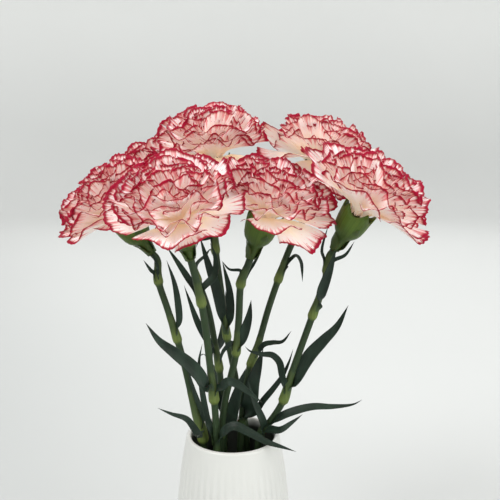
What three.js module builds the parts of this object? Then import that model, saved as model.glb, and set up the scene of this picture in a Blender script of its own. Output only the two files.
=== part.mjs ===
// Seven cut carnations standing in a tall ceramic vase. Millimetres, +Z up.
// The origin is the middle of the vase's foot, and the bouquet's front looks along -Y.
import * as THREE from "three";

// Vase
const VASE_HEIGHT = 165;
const MOUTH_BORE = 52;
const VASE_WALL = 3.2;
const VASE_FLOOR = 5;
const SHOULDER_DIAMETER = 66.5;
const SHOULDER_DROP = 26;
const BELLY_DIAMETER = 75;
const BELLY_RISE = 80;
const FOOT_DIAMETER = 60;
const FOOT_BEVEL = 1.5;

// Carnations
const FLOWER_DIAMETER = 73;
const FLOWER_DEPTH = 32;
const CALYX_LENGTH = 27;
const CALYX_MOUTH = 19;
const CALYX_WALL = 1.2;
const CALYX_CUP = 5;
const STEM_DIAMETER = 4.2;
const NODE_SWELL = 1.45;
const LEAF_THICKNESS = 1;
const LEAF_FOLD = 0.3;

// Room left between pieces that touch
const GAP = 0.35;

// The plan below is for pieces of these sizes. Larger heads spread it, thicker stems push their leaves
// out, and longer calyces push their stems and leaves down.
const PLANNED_FLOWER = 73;
const PLANNED_STEM = 5;
const PLANNED_CALYX = 27;

// Each carnation: where its calyx mouth is and which way it faces, where its stem passes the vase's
// mouth and stands on its floor (in shares of the room there), the stem's route above the rim, the
// heights of its swollen joints, and its leaves. Heights are above the rim.
// A leaf has the height on the stem where it leaves, its width, the way its upper face looks, and its route.
const CARNATIONS = [
  {
    mouth: [-63.5, -2, 136],
    axis: [-0.56, -0.17, 0.81],
    rim: [-0.8, -0.14],
    floor: [-0.78, -0.32],
    route: [[-23, -3, 15], [-30, -2, 47], [-34, -1, 62], [-40, 1, 81], [-45.5, 4, 98]],
    joints: [2, 61, 96],
    leaves: [
      { at: 100, width: 2.2, face: [0.3, -1, 0], route: [[-45, -1, 107], [-48, -2, 115]] },
      { at: 66, width: 5, face: [-0.4, -1, 0], route: [[-29.5, -3, 78], [-32.5, -3, 94], [-38, -4, 110]] },
      { at: 8, width: 4, face: [-0.6, -1, 0], route: [[-17.5, -5, 18], [-21.5, -7, 30], [-24, -8.5, 44]] },
      { at: -2, width: 5, face: [-0.2, -1, 0.5], route: [[-20, -21.5, 9], [-26.5, -25, 20], [-35, -27, 24], [-43, -28, 28]] },
    ],
  },
  {
    mouth: [-26.2, -51, 141.2],
    axis: [-0.16, -0.5, 0.86],
    rim: [-0.42, -0.43],
    floor: [-0.55, -0.75],
    route: [[-10.7, -13, 24], [-12.7, -17, 47], [-14.5, -21.5, 69], [-17, -27, 91]],
    joints: [27, 90],
    leaves: [
      { at: 95, width: 4, face: [0.2, -1, 0], route: [[-24, -25.5, 104], [-31, -22.5, 114], [-37, -20, 122]] },
      { at: 95, width: 4.5, face: [-0.3, -1, 0], route: [[-9.5, -24, 106], [-9, -22, 116], [-12, -20, 124]] },
      {
        at: 34,
        width: 8.5,
        face: [0.2, -1, 0.2],
        route: [[-18.5, -20, 44], [-25, -22, 53], [-34, -24, 61], [-42, -25, 68], [-49, -25, 78]],
      },
      {
        at: 31,
        width: 5.5,
        face: [0, -1, 0.4],
        route: [[-5.5, -19, 38], [-2.5, -21, 41.5], [3, -22, 40.5], [10, -24, 36], [18.5, -26, 30]],
      },
      { at: 0, width: 4.4, face: [-0.4, -1, 0], route: [[-15.5, -10, 16], [-18.5, -9.5, 34], [-20, -9, 49], [-18, -9, 61]] },
      {
        at: -4,
        width: 6,
        face: [0, -1, 1],
        route: [[-5, -16, 8], [1, -18, 12.5], [10, -20, 9.5], [20, -23, 5], [31, -25, 2], [38, -26, 0]],
      },
    ],
  },
  {
    mouth: [-12, 14, 170.5],
    axis: [-0.05, -0.18, 0.98],
    rim: [0.31, 0.73],
    floor: [0.62, 0.58],
    route: [[4.2, 17, 15], [-1.5, 17.8, 45], [-4, 18, 57], [-7.7, 18, 88], [-10.9, 18.4, 114], [-11.4, 19, 128]],
    joints: [57, 113],
    leaves: [
      { at: 117, width: 2.4, face: [0, -1, 0.6], route: [[-17, 14, 121], [-21, 12, 120], [-22.5, 11, 116]] },
      { at: 62, width: 7, face: [0.3, -1, 0], route: [[-11, 12.5, 84], [-17, 9, 106], [-20, 7, 123]] },
      { at: 62, width: 5.5, face: [-0.4, -1, 0], route: [[1, 16, 78], [-1.5, 14, 92], [-5, 13, 107]] },
    ],
  },
  {
    mouth: [19, -20, 139],
    axis: [0.3, -0.25, 0.92],
    rim: [-0.31, -0.02],
    floor: [-0.36, -0.1],
    route: [[-4.5, -1.5, 23], [-1.4, -3, 37], [1.9, -5, 52], [4, -7.5, 76], [5.5, -9, 99]],
    joints: [54, 97],
    leaves: [
      { at: 102, width: 2.4, face: [-0.3, -1, 0], route: [[12.5, -8, 109], [17.5, -7, 117]] },
      { at: 59, width: 6.5, face: [-0.3, -1, 0], route: [[9.5, -9.5, 70], [11.8, -9.5, 79], [12, -9.5, 88]] },
      { at: 57, width: 3, face: [0.2, -1, 0.3], route: [[-5.5, -8, 56], [-7.5, -9, 48]] },
      { at: 102, width: 2, face: [0.3, -1, 0], route: [[-1.5, -11, 107], [-6, -10, 112]] },
    ],
  },
  {
    mouth: [53.5, 36, 163.5],
    axis: [0.25, 0.26, 0.93],
    rim: [0.22, 0.38],
    floor: [-0.2, 0.38],
    route: [[7, 11, 24], [10.5, 14, 38], [15.8, 17.5, 52], [22.5, 21, 75], [29, 24, 94], [35.5, 25.5, 112]],
    joints: [40, 93],
    leaves: [
      {
        at: 98,
        width: 3.4,
        face: [0, -0.5, 1],
        route: [[38.5, 23, 106.5], [41.5, 23, 108.5], [44, 23, 104], [44.5, 23, 92]],
      },
      { at: 45, width: 3.6, face: [0, -1, 0.5], route: [[20, 11, 54.5], [25, 9.5, 56], [31, 8.5, 57], [36.5, 8, 64]] },
      { at: 5, width: 10.5, face: [-0.2, -1, 0], route: [[10.5, 4, 18], [12.5, 4.5, 31], [16, 7, 42], [19, 9, 52]] },
    ],
  },
  {
    mouth: [72.5, -19.5, 142],
    axis: [0.48, -0.23, 0.85],
    rim: [0.74, 0.09],
    floor: [0.55, 0.16],
    route: [[23, 1, 7], [31, -1, 21], [35.9, -3, 39], [40.5, -5, 54], [48.3, -8.5, 79], [55, -11, 101]],
    joints: [22, 78, 106],
    leaves: [
      { at: 109, width: 2, face: [0.4, -1, 0], route: [[52.5, -12, 118], [56, -12, 133]] },
      { at: 108, width: 2.4, face: [-0.4, -1, 0], route: [[66, -14, 116], [71, -15, 124]] },
      { at: 84, width: 7, face: [0.3, -1, 0], route: [[52, -16.5, 96], [56.5, -19, 109], [58.5, -19.5, 120]] },
      {
        at: 28,
        width: 5,
        face: [-0.6, -1, 0.5],
        route: [[29.5, -4, 40], [28, -4, 48], [24, -4, 52.5], [17, -4.5, 54], [10, -4.5, 57]],
      },
      {
        at: 28,
        width: 8.5,
        face: [-0.4, -1, 0.3],
        route: [[43, -4, 39], [49, -4, 51], [56, -5, 62], [64, -6, 71], [69.5, -6.5, 83]],
      },
      {
        at: 2,
        width: 5.5,
        face: [0, -1, 1],
        route: [[31, -7, 14.5], [42, -9, 19.5], [50, -10, 21.5], [61, -10, 21.5], [73.5, -10, 23], [79, -10, 26]],
      },
      { at: -2, width: 5, face: [-0.2, -1, 0.7], route: [[29.5, -12, 7.5], [36, -13, 12.5], [42.5, -13.5, 18]] },
    ],
  },
  {
    mouth: [-45, 54, 148],
    axis: [-0.35, 0.37, 0.86],
    rim: [-0.25, 0.7],
    floor: [-0.52, 0.44],
    route: [[-7.5, 19, 15], [-9.3, 23, 34], [-12, 27, 48], [-17, 33, 72], [-26, 39, 96]],
    joints: [34, 90],
    leaves: [
      { at: 40, width: 5, face: [0.2, -1, 0], route: [[-16, 18, 54], [-22, 12, 68], [-26.5, 9, 82], [-30, 8, 93]] },
      { at: 40, width: 6, face: [0, 1, 0.3], route: [[-7, 36, 54], [-5, 44, 68], [-6, 50, 80]] },
      { at: 95, width: 3, face: [0, 1, 0.6], route: [[-19, 47, 105], [-16, 53, 108], [-15, 57, 103]] },
      { at: 0, width: 6, face: [-0.2, 1, 0.6], route: [[-11, 30, 16], [-16, 42, 30], [-21, 53, 34], [-25, 61, 30]] },
    ],
  },
];

const glaze = new THREE.MeshStandardMaterial({ color: 0xecede6, roughness: 0.45, metalness: 0 });
const petalSkin = new THREE.MeshStandardMaterial({ color: 0xf3d9cb, roughness: 0.6, metalness: 0 });
const calyxGreen = new THREE.MeshStandardMaterial({ color: 0x5f8a35, roughness: 0.5, metalness: 0 });
const stemGreen = new THREE.MeshStandardMaterial({ color: 0x4a6b45, roughness: 0.55, metalness: 0 });
const leafGreen = new THREE.MeshStandardMaterial({ color: 0x35514a, roughness: 0.6, metalness: 0 });

const object = new THREE.Group();

function place(name, geometry, material, parent = object) {
  const mesh = new THREE.Mesh(geometry, material);
  mesh.name = name;
  parent.add(mesh);
  return mesh;
}

/** Moves every vertex of a geometry by a function that changes it in place. */
function reshape(geometry, change) {
  const position = geometry.getAttribute("position");
  const vertex = new THREE.Vector3();
  for (let i = 0; i < position.count; i += 1) {
    change(vertex.fromBufferAttribute(position, i));
    position.setXYZ(i, vertex.x, vertex.y, vertex.z);
  }
  return geometry;
}

/** A solid of revolution about +Z from a profile of [radius, height] pairs that runs up its outside. */
function turned(profile, segments) {
  const points = profile.map(([radius, height]) => new THREE.Vector2(radius, height));
  return new THREE.LatheGeometry(points, segments).rotateX(Math.PI / 2);
}

/**
 * Carries a turned solid of unit height along a curve: a vertex at height t goes to the curve's
 * point at t, and its offset from the axis lies across the curve, squared up to the face direction.
 */
function carried(solid, curve, face, section = (x, y) => [x, y]) {
  const tangent = new THREE.Vector3();
  return reshape(solid, (vertex) => {
    const [across, out] = section(vertex.x, vertex.y);
    const along = THREE.MathUtils.clamp(vertex.z, 0, 1);
    curve.getTangentAt(along, tangent);
    const normal = face.clone().addScaledVector(tangent, -face.dot(tangent)).normalize();
    const side = new THREE.Vector3().crossVectors(normal, tangent);
    curve.getPointAt(along, vertex).addScaledVector(side, across).addScaledVector(normal, out);
  });
}

// --- Vase ---------------------------------------------------------------------------------------

const boreRadius = MOUTH_BORE / 2;
const shoulderHeight = VASE_HEIGHT - SHOULDER_DROP;

/** The wall's curve from foot to lip, drawn at a distance inside the outer face. */
function wallCurve(inset, bottom) {
  return new THREE.SplineCurve([
    new THREE.Vector2(FOOT_DIAMETER / 2 - inset, bottom),
    new THREE.Vector2(BELLY_DIAMETER / 2 - inset, BELLY_RISE),
    new THREE.Vector2(SHOULDER_DIAMETER / 2 - inset, shoulderHeight),
    new THREE.Vector2(boreRadius + VASE_WALL - inset, VASE_HEIGHT - VASE_WALL / 2),
  ]);
}

function vaseGeometry() {
  const lip = new THREE.Path();
  lip.absarc(boreRadius + VASE_WALL / 2, VASE_HEIGHT - VASE_WALL / 2, VASE_WALL / 2, 0, Math.PI);
  const outline = [
    new THREE.Vector2(0, 0),
    new THREE.Vector2(FOOT_DIAMETER / 2 - FOOT_BEVEL, 0),
    ...wallCurve(0, FOOT_BEVEL).getPoints(12),
    ...lip.getPoints(3).slice(1, -1),
    ...wallCurve(VASE_WALL, VASE_FLOOR).getPoints(10).reverse(),
    new THREE.Vector2(0, VASE_FLOOR),
  ];
  return turned(outline.map((point) => [point.x, point.y]), 40);
}

place("vase", vaseGeometry(), glaze);

// --- Flower heads -------------------------------------------------------------------------------

const flowerRadius = FLOWER_DIAMETER / 2;
const neckRadius = CALYX_MOUTH / 2 - CALYX_WALL - GAP;
const CALYX_FOOT = 3.2;
const TEETH = 5;
const TOOTH_HEIGHT = 1.8;

/** A cupped tube that narrows to its foot, with five low teeth round its mouth. */
function calyxGeometry() {
  const mouth = CALYX_MOUTH / 2;
  const profile = [
    [0, -CALYX_LENGTH],
    [CALYX_FOOT, -CALYX_LENGTH],
    [mouth * 0.5, -CALYX_LENGTH * 0.78],
    [mouth * 0.82, -CALYX_LENGTH * 0.55],
    [mouth * 0.96, -CALYX_LENGTH * 0.2],
    [mouth, 0],
    [mouth - CALYX_WALL, 0],
    [mouth - CALYX_WALL, -CALYX_CUP],
    [0, -CALYX_CUP],
  ];
  return reshape(turned(profile, 20), (vertex) => {
    const turn = Math.atan2(vertex.y, vertex.x);
    if (vertex.z > -0.01) vertex.z += TOOTH_HEIGHT * (Math.cos(TEETH * turn) - 1) / 2;
  });
}

/** Lifts and lengthens a whorl towards its edge in waves, so that its rim is ruffled. */
function ruffled(geometry, waves, lift, reach, start) {
  return reshape(geometry, (vertex) => {
    const radius = Math.hypot(vertex.x, vertex.y);
    const share = Math.max(0, (radius / flowerRadius - start) / (1 - start));
    const turn = Math.atan2(vertex.y, vertex.x);
    const stretch = 1 + reach * share * Math.sin(waves * turn);
    vertex.set(vertex.x * stretch, vertex.y * stretch, vertex.z + lift * share * Math.cos(waves * turn));
  });
}

const OUTER_DEPTH = FLOWER_DEPTH * 0.5;

function outerPetalsGeometry() {
  const profile = [
    [0, GAP - CALYX_CUP],
    [neckRadius, GAP - CALYX_CUP],
    [neckRadius, GAP + 0.4],
    [flowerRadius * 0.45, OUTER_DEPTH * 0.2],
    [flowerRadius * 0.8, OUTER_DEPTH * 0.48],
    [flowerRadius * 0.97, OUTER_DEPTH * 0.7],
    [flowerRadius, OUTER_DEPTH * 0.85],
    [flowerRadius * 0.93, OUTER_DEPTH],
    [flowerRadius * 0.55, OUTER_DEPTH],
    [0, OUTER_DEPTH],
  ];
  return ruffled(turned(profile, 32), 8, 1.2, 0.02, 0.6);
}

function innerPetalsGeometry() {
  const profile = [
    [0, OUTER_DEPTH + GAP],
    [flowerRadius * 0.5, OUTER_DEPTH + GAP],
    [flowerRadius * 0.68, OUTER_DEPTH + GAP + 1.5],
    [flowerRadius * 0.7, FLOWER_DEPTH * 0.66],
    [flowerRadius * 0.56, FLOWER_DEPTH * 0.84],
    [flowerRadius * 0.28, FLOWER_DEPTH * 0.98],
    [0, FLOWER_DEPTH],
  ];
  return ruffled(turned(profile, 24), 6, 0.8, 0.04, 0.4);
}

// --- Stems and leaves ---------------------------------------------------------------------------

const stemRadius = STEM_DIAMETER / 2;
const STEM_ROWS = 18;

const spread = FLOWER_DIAMETER / PLANNED_FLOWER;
const mouthRoom = boreRadius - stemRadius - GAP;
const floorRoom = FOOT_DIAMETER / 2 - VASE_WALL - stemRadius - GAP;

const aboveRim = ([x, y, height]) =>
  new THREE.Vector3(x * spread, y * spread, VASE_HEIGHT + height * spread);

/** A planned point of a stem or leaf, moved with the calyx foot as far as it is up the stem. */
function inPlan({ mouth, axis }, point) {
  const share = THREE.MathUtils.clamp(point[2] / (mouth[2] - PLANNED_CALYX), 0, 1);
  return aboveRim(point).addScaledVector(axis, (PLANNED_CALYX - CALYX_LENGTH) * share);
}

const stemShare = (carnation, curve, height) => shareAtHeight(curve, inPlan(carnation, [0, 0, height]).z);

const across = ([x, y], room, height) => new THREE.Vector3(x * room, y * room, height);

/** The stem's line from the vase's floor, through its mouth and up to the foot of the calyx. */
function stemCurve(carnation) {
  const { mouth, axis, rim, floor, route } = carnation;
  const top = aboveRim(mouth).addScaledVector(axis, -(CALYX_LENGTH + GAP));
  const neck = top.clone().addScaledVector(axis, -10);
  const foot = across(floor, floorRoom, VASE_FLOOR + stemRadius * 0.5);
  const gate = across(rim, mouthRoom, VASE_HEIGHT);
  const halfway = foot.clone().lerp(gate, 0.55);
  const points = [foot, halfway, gate, ...route.map((point) => inPlan(carnation, point)), neck, top];
  return new THREE.CatmullRomCurve3(points, false, "centripetal");
}

/** The share of a rising curve's length at which it reaches a height. */
function shareAtHeight(curve, height) {
  let low = 0;
  let high = 1;
  for (let step = 0; step < 24; step += 1) {
    const middle = (low + high) / 2;
    if (curve.getPointAt(middle).z < height) low = middle;
    else high = middle;
  }
  return (low + high) / 2;
}

/** A round stem that swells at each joint and narrows again over the sheath above it. */
function stemGeometry(carnation, curve) {
  const length = curve.getLength();
  const sheaths = carnation.joints.map((height) => stemShare(carnation, curve, height));
  const isPlain = (share) => sheaths.every((joint) => share < joint - 4 / length || share > joint + 15 / length);
  const profile = [];
  for (let row = 0; row <= STEM_ROWS; row += 1) {
    if (isPlain(row / STEM_ROWS)) profile.push([stemRadius, row / STEM_ROWS]);
  }
  for (const joint of sheaths) {
    profile.push([stemRadius, joint - 3 / length]);
    profile.push([stemRadius * NODE_SWELL, joint]);
    profile.push([stemRadius * 1.3, joint + 5 / length]);
    profile.push([stemRadius, joint + 13 / length]);
  }
  profile.sort((a, b) => a[1] - b[1]);
  return carried(turned([[0, 0], ...profile, [0, 1]], 8), curve, new THREE.Vector3(0, -1, 0));
}

/** A narrow blade, widest a third of the way up, folded along its keel and drawn out to a point. */
function leafGeometry(curve, width, face) {
  const rows = Math.max(7, Math.round(curve.getLength() / 7));
  const profile = [[0, 0]];
  for (let row = 0; row < rows; row += 1) {
    const share = row / rows;
    const swell = 0.55 + 0.45 * Math.sin(Math.min(1, share / 0.35) * Math.PI / 2);
    const taper = share < 0.35 ? 1 : 1 - ((share - 0.35) / 0.65) ** 1.8;
    profile.push([(width / 2) * swell * taper, share]);
  }
  profile.push([0, 1]);
  const folded = (x, y) => [x, y * (LEAF_THICKNESS / width) + LEAF_FOLD * Math.abs(x)];
  return carried(turned(profile, 4), curve, face, folded);
}

/** A leaf's line: it starts beside its stem, clear of the swollen joint, on the side it leaves from. */
function leafCurve(carnation, stem, { at, width, route }) {
  const start = stem.getPointAt(stemShare(carnation, stem, at));
  const points = route.map((point) => inPlan(carnation, point));
  const away = points[0].clone().sub(start).setZ(0).normalize();
  points.forEach((point) => point.addScaledVector(away, stemRadius - PLANNED_STEM / 2));
  const clearance = stemRadius * NODE_SWELL + GAP + (width / 2) * 0.6;
  return new THREE.CatmullRomCurve3([start.addScaledVector(away, clearance), ...points], false, "centripetal");
}

CARNATIONS.forEach((carnation, index) => {
  const number = index + 1;
  carnation.axis = new THREE.Vector3(...carnation.axis).normalize();
  const head = new THREE.Group();
  head.position.copy(aboveRim(carnation.mouth));
  head.quaternion.setFromUnitVectors(new THREE.Vector3(0, 0, 1), carnation.axis);
  object.add(head);
  place(`calyx_${number}`, calyxGeometry(), calyxGreen, head);
  place(`outer_petals_${number}`, outerPetalsGeometry(), petalSkin, head);
  place(`inner_petals_${number}`, innerPetalsGeometry(), petalSkin, head);

  const stem = stemCurve(carnation);
  place(`stem_${number}`, stemGeometry(carnation, stem), stemGreen);
  carnation.leaves.forEach((leaf, order) => {
    const face = new THREE.Vector3(...leaf.face).normalize();
    const letter = "abcdefgh"[order];
    const midrib = leafCurve(carnation, stem, leaf);
    place(`leaf_${number}${letter}`, leafGeometry(midrib, leaf.width, face), leafGreen);
  });
});

export default object;
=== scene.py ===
import math

import bpy
import numpy as np
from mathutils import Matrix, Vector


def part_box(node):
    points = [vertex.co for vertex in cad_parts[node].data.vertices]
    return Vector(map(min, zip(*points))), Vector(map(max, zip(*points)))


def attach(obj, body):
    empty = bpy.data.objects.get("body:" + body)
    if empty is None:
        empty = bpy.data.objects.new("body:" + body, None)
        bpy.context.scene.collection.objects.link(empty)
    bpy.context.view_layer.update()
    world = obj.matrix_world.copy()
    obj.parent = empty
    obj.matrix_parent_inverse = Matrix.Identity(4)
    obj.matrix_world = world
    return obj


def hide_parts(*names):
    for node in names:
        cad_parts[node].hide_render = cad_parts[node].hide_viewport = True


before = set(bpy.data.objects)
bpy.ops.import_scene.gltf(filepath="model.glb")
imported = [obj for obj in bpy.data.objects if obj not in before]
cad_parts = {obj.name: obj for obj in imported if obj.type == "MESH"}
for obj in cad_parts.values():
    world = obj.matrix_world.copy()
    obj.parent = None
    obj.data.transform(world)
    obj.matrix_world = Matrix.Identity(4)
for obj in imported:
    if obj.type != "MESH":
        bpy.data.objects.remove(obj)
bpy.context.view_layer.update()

# --- Studio -------------------------------------------------------------------------------------
# A pale cove of floor and wall round the bouquet, a large soft light from the upper left, weaker ones
# from the right and from behind, and an even sky. The camera looks a little down on the flowers.


def grid_object(name, grids):
    """
    Makes one mesh from closed grids. A grid is (points, uv, tint): arrays of rows of rings, with any
    number of like shapes stacked in front. Neighbouring rings are joined by quads, and the two end
    rings are zipped shut across. A grid whose signed volume is negative is turned inside out first.
    """
    spots, places, tints, faces, used = [], [], [], [], 0
    for points, uv, tint in grids:
        rows, columns = points.shape[-3:-1]
        points = points.reshape(-1, rows * columns, 3)
        row, column = np.meshgrid(np.arange(rows - 1), np.arange(columns), indexing="ij")
        here, after = row * columns, (column + 1) % columns
        wall = np.stack([here + column, here + after, here + columns + after, here + columns + column], -1)
        zip_column = np.arange(columns // 2 - 1)
        low = np.stack([zip_column + 1, zip_column, columns - 1 - zip_column, columns - 2 - zip_column], -1)
        quads = np.vstack([wall.reshape(-1, 4), low, (rows - 1) * columns + low[:, ::-1]])
        corner = points[:, quads]
        spread = np.cross(corner[:, :, 1] - corner[:, :, 0], corner[:, :, 2] - corner[:, :, 0])
        spread += np.cross(corner[:, :, 2] - corner[:, :, 0], corner[:, :, 3] - corner[:, :, 0])
        if np.sum(spread * (corner[:, :, 0] - points.mean(axis=1, keepdims=True))) < 0:
            quads = quads[:, ::-1]
        shift = used + np.arange(len(points)) * rows * columns
        faces.append((quads + shift[:, None, None]).reshape(-1, 4))
        spots.append(points.reshape(-1, 3))
        places.append(np.broadcast_to(uv, points.shape[:1] + (rows, columns, 2)).reshape(-1, 2))
        tints.append(np.broadcast_to(tint, points.shape[:1] + (rows, columns)).ravel())
        used += len(points) * rows * columns
    faces = np.vstack(faces).astype(np.int32)
    mesh = bpy.data.meshes.new(name)
    mesh.vertices.add(used)
    mesh.vertices.foreach_set("co", np.vstack(spots).astype(np.float32).ravel())
    mesh.loops.add(faces.size)
    mesh.loops.foreach_set("vertex_index", faces.ravel())
    mesh.polygons.add(len(faces))
    mesh.polygons.foreach_set("loop_start", np.arange(0, faces.size, 4, dtype=np.int32))
    mesh.update(calc_edges=True)
    mesh.shade_smooth()
    layer = mesh.uv_layers.new(name="UVMap")
    layer.data.foreach_set("uv", np.vstack(places)[faces.ravel()].astype(np.float32).ravel())
    tint = mesh.attributes.new("tint", "FLOAT", "POINT")
    tint.data.foreach_set("value", np.concatenate(tints).astype(np.float32))
    piece = bpy.data.objects.new(name, mesh)
    bpy.context.scene.collection.objects.link(piece)
    return piece


def turned(profile, columns, radius_change=0.0):
    """A profile of (radius, height) turned about Z: x, y = radius times cosine and sine of the turn."""
    turn = np.linspace(0, 2 * math.pi, columns, endpoint=False)
    radius = profile[:, :1] + radius_change
    points = np.stack([radius * np.cos(turn), radius * np.sin(turn), profile[:, 1:] + 0 * turn], -1)
    return points, np.zeros(points.shape[:2] + (2,)), np.zeros(points.shape[:2])


class Value:
    """A shader socket. Sums, differences and products of values add the Math nodes for them."""

    def __init__(self, paint, socket):
        self.paint = paint
        self.socket = socket

    def maths(self, operation, first, second):
        return self.paint.node("ShaderNodeMath", {"operation": operation}, {0: first, 1: second})

    def __add__(self, other):
        return self.maths("ADD", self, other)

    def __radd__(self, other):
        return self.maths("ADD", other, self)

    def __sub__(self, other):
        return self.maths("SUBTRACT", self, other)

    def __rsub__(self, other):
        return self.maths("SUBTRACT", other, self)

    def __mul__(self, other):
        return self.maths("MULTIPLY", self, other)

    def __rmul__(self, other):
        return self.maths("MULTIPLY", other, self)

    def at_least(self, other):
        return self.maths("MAXIMUM", self, other)


class Paint:
    """One material. Every node but Math comes from node(), which sets its settings, then its sockets."""

    def __init__(self, name, **constants):
        self.material = bpy.data.materials.new(name)
        self.material.use_nodes = True
        self.tree = self.material.node_tree
        self.surface = self.tree.nodes["Principled BSDF"]
        for key, value in constants.items():
            self.surface.inputs[key.replace("_", " ")].default_value = value

    def node(self, kind, settings, sockets, output=0):
        made = self.tree.nodes.new(kind)
        for key, value in settings.items():
            setattr(made, key, value)
        for key, value in sockets.items():
            if isinstance(value, Value):
                self.tree.links.new(value.socket, made.inputs[key])
            else:
                made.inputs[key].default_value = value
        return Value(self, made.outputs[output])

    def feed(self, socket, value):
        self.tree.links.new(value.socket, self.surface.inputs[socket])

    def mix(self, share, first, second):
        """Mixes two colours. The Mix node's colour sockets are 6 and 7, and its colour output is 2."""
        return self.node("ShaderNodeMix", {"data_type": "RGBA"}, {0: share, 6: first, 7: second}, 2)

    def step(self, value, low, high):
        """Rises smoothly from 0 to 1 as the value goes from low to high."""
        settings = {"interpolation_type": "SMOOTHSTEP"}
        return self.node("ShaderNodeMapRange", settings, {"Value": value, "From Min": low, "From Max": high})

    def noise(self, place, stretch, detail=2.0):
        vector = self.node("ShaderNodeMapping", {}, {"Vector": place, "Scale": stretch})
        return self.node("ShaderNodeTexNoise", {}, {"Vector": vector, "Scale": 1.0, "Detail": detail}, "Fac")

    def bump(self, height, strength, distance):
        sockets = {"Height": height, "Strength": strength, "Distance": distance}
        self.feed("Normal", self.node("ShaderNodeBump", {}, sockets, "Normal"))

    def tint(self):
        return self.node("ShaderNodeAttribute", {"attribute_name": "tint"}, {}, "Fac")

    def object_place(self):
        return self.node("ShaderNodeTexCoord", {}, {}, "Object")

    def sheet_place(self):
        return self.node("ShaderNodeUVMap", {"uv_map": "UVMap"}, {}, "UV")

    def part(self, place, axis):
        return self.node("ShaderNodeSeparateXYZ", {}, {"Vector": place}, axis)


COVE_RADIUS = 2.6
COVE_BEND = 1.2
COVE_HEIGHT = 2.2
COVE_THICKNESS = 0.1
COVE_POLE = 0.001
# The two wall colours between which the backdrop's painted light and shade are mixed.
WALL_SHADE = (0.45, 0.465, 0.46, 1)
WALL_LIGHT = (0.82, 0.83, 0.82, 1)


def cove_bend(radius):
    """A quarter circle about the middle of the cove's bend, from the floor up to the wall."""
    bend = np.linspace(0, math.pi / 2, 16)
    return np.stack([COVE_RADIUS + radius * np.sin(bend), COVE_BEND - radius * np.cos(bend)], -1)


def cove_profile():
    """Outside the cove from under the floor up to the wall's top, and back down inside to the floor."""
    wall = COVE_RADIUS + COVE_BEND
    under = [[COVE_POLE, -COVE_THICKNESS], *cove_bend(COVE_BEND + COVE_THICKNESS)]
    top = [[wall + COVE_THICKNESS, COVE_HEIGHT], [wall, COVE_HEIGHT]]
    return np.vstack([under, top, cove_bend(COVE_BEND)[::-1], [[COVE_POLE, 0.0]]])


backdrop = grid_object("studio_cove", [turned(cove_profile(), 64)])
wall_paint = Paint("studio_wall", Roughness=0.9)
wall_place = wall_paint.object_place()
wall_x, wall_y, wall_z = [wall_paint.part(wall_place, axis) for axis in "XYZ"]
wall_cloud = wall_paint.noise(wall_place, (0.6, 0.6, 0.6))
# The backdrop's colour is painted light and shade: the floor is darker to the left and front and lighter to
# the right and back, and the wall grows lighter with height.
wall_right = wall_paint.step(wall_x + wall_y * 0.6, -0.35, 0.5)
wall_off_floor = wall_paint.step(wall_z, 0.0, 0.4)
wall_high = wall_paint.step(wall_z, 0.0, 1.3)
wall_light_and_shade = wall_cloud * 0.2 + wall_right.at_least(wall_off_floor) * 0.45 + wall_high * 0.5
wall_paint.feed("Base Color", wall_paint.mix(wall_light_and_shade, WALL_SHADE, WALL_LIGHT))
backdrop.data.materials.append(wall_paint.material)

LIGHT_AIM = (0, 0, 0.28)
SKY_COLOUR = (1.0, 1.0, 0.985, 1)
SKY_STRENGTH = 0.79


def soft_light(name, place, size, power):
    """A round area light that faces the middle of the flowers."""
    lamp = bpy.data.lights.new(name, "AREA")
    lamp.shape = "DISK"
    lamp.size = size
    lamp.energy = power
    holder = bpy.data.objects.new(name, lamp)
    holder.location = place
    towards = np.array(LIGHT_AIM) - np.array(place)
    level = math.hypot(towards[0], towards[1])
    holder.rotation_euler = (math.atan2(level, -towards[2]), 0, math.atan2(-towards[0], towards[1]))
    bpy.context.scene.collection.objects.link(holder)


soft_light("key_light", (-1.5, -1.5, 2.2), 1.4, 47)
soft_light("fill_light", (1.8, -1.4, 1.0), 1.8, 28)
soft_light("back_light", (0.3, 2.0, 1.8), 1.4, 15)

world = bpy.data.worlds.new("even_sky")
world.use_nodes = True
sky = world.node_tree.nodes["Background"]
sky.inputs["Color"].default_value = SKY_COLOUR
sky.inputs["Strength"].default_value = SKY_STRENGTH
bpy.context.scene.world = world
bpy.context.scene.view_settings.view_transform = "Standard"

CAMERA_PLACE = (0.0107, -0.4113, 0.3504)
CAMERA_DIP = math.radians(9.5)

lens = bpy.data.cameras.new("camera")
lens.lens = 50
lens.sensor_width = 36
camera = bpy.data.objects.new("camera", lens)
camera.location = CAMERA_PLACE
camera.rotation_euler = (math.pi / 2 - CAMERA_DIP, 0, 0)
bpy.context.scene.collection.objects.link(camera)
bpy.context.scene.camera = camera

# --- Vase ---------------------------------------------------------------------------------------
# Slip-cast white stoneware with a satin glaze. Soft upright ribs run down from a smooth shoulder and
# fade out above the foot; the lip is rounded and the inside is smooth.

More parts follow.
